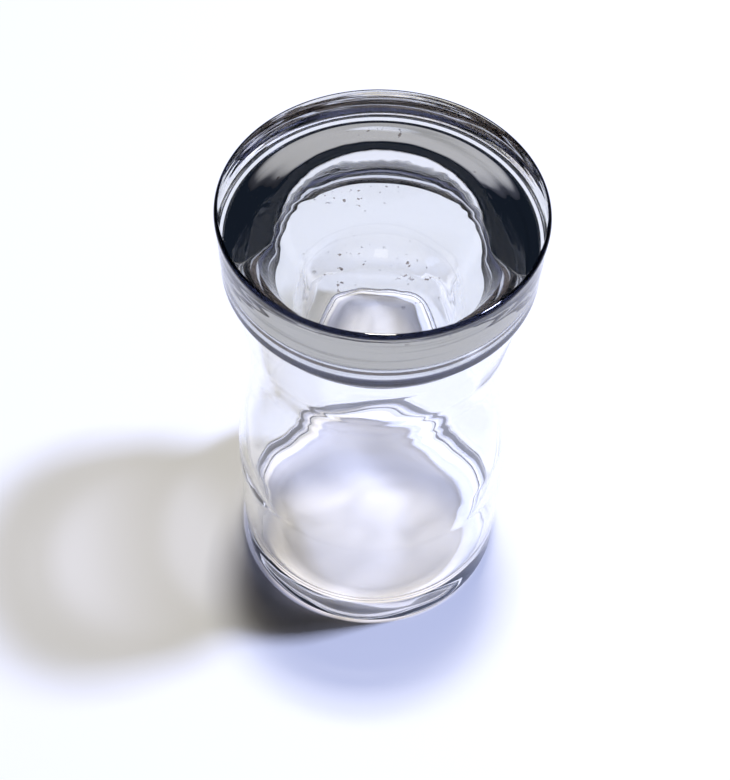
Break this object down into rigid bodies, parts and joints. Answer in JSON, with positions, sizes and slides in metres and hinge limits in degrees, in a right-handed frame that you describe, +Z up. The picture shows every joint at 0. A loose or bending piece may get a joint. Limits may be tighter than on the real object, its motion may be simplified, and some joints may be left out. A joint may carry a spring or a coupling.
{
  "type": "lidded glass canister",
  "caption": "Clear glass storage jar with a waisted neck, closed by a heavy, flat-topped glass lid that is hollowed below and rests on a translucent seal ring.",
  "frame": {"origin": "centre of the circle on which the jar stands, at the table", "axes": "+Z up along the jar's axis, towards the lid; +Y points away from the picture's viewer and +X to the viewer's right"},
  "size_m": [0.09, 0.09, 0.1607],
  "materials": {
    "jar_glass": "clear, polished, slightly wavy pressed glass",
    "lid_glass": "clear, polished, thick pressed glass",
    "seal_plastic": "clear, satin, soft plastic"
  },
  "bodies": {
    "jar": {"jar": "jar_glass"},
    "seal": {"seal_ring": "seal_plastic"},
    "lid": {"lid": "lid_glass"}
  },
  "joints": [
    {"name": "lid_turn", "type": "hinge", "parent": "jar", "child": "seal", "pos_m": [0, 0, 0.1366], "axis": [0, 0, 1], "continuous": true},
    {"name": "lid_lift", "type": "slide", "parent": "seal", "child": "lid", "axis": [0, 0, 1], "range_m": [0, 0.06]}
  ]
}
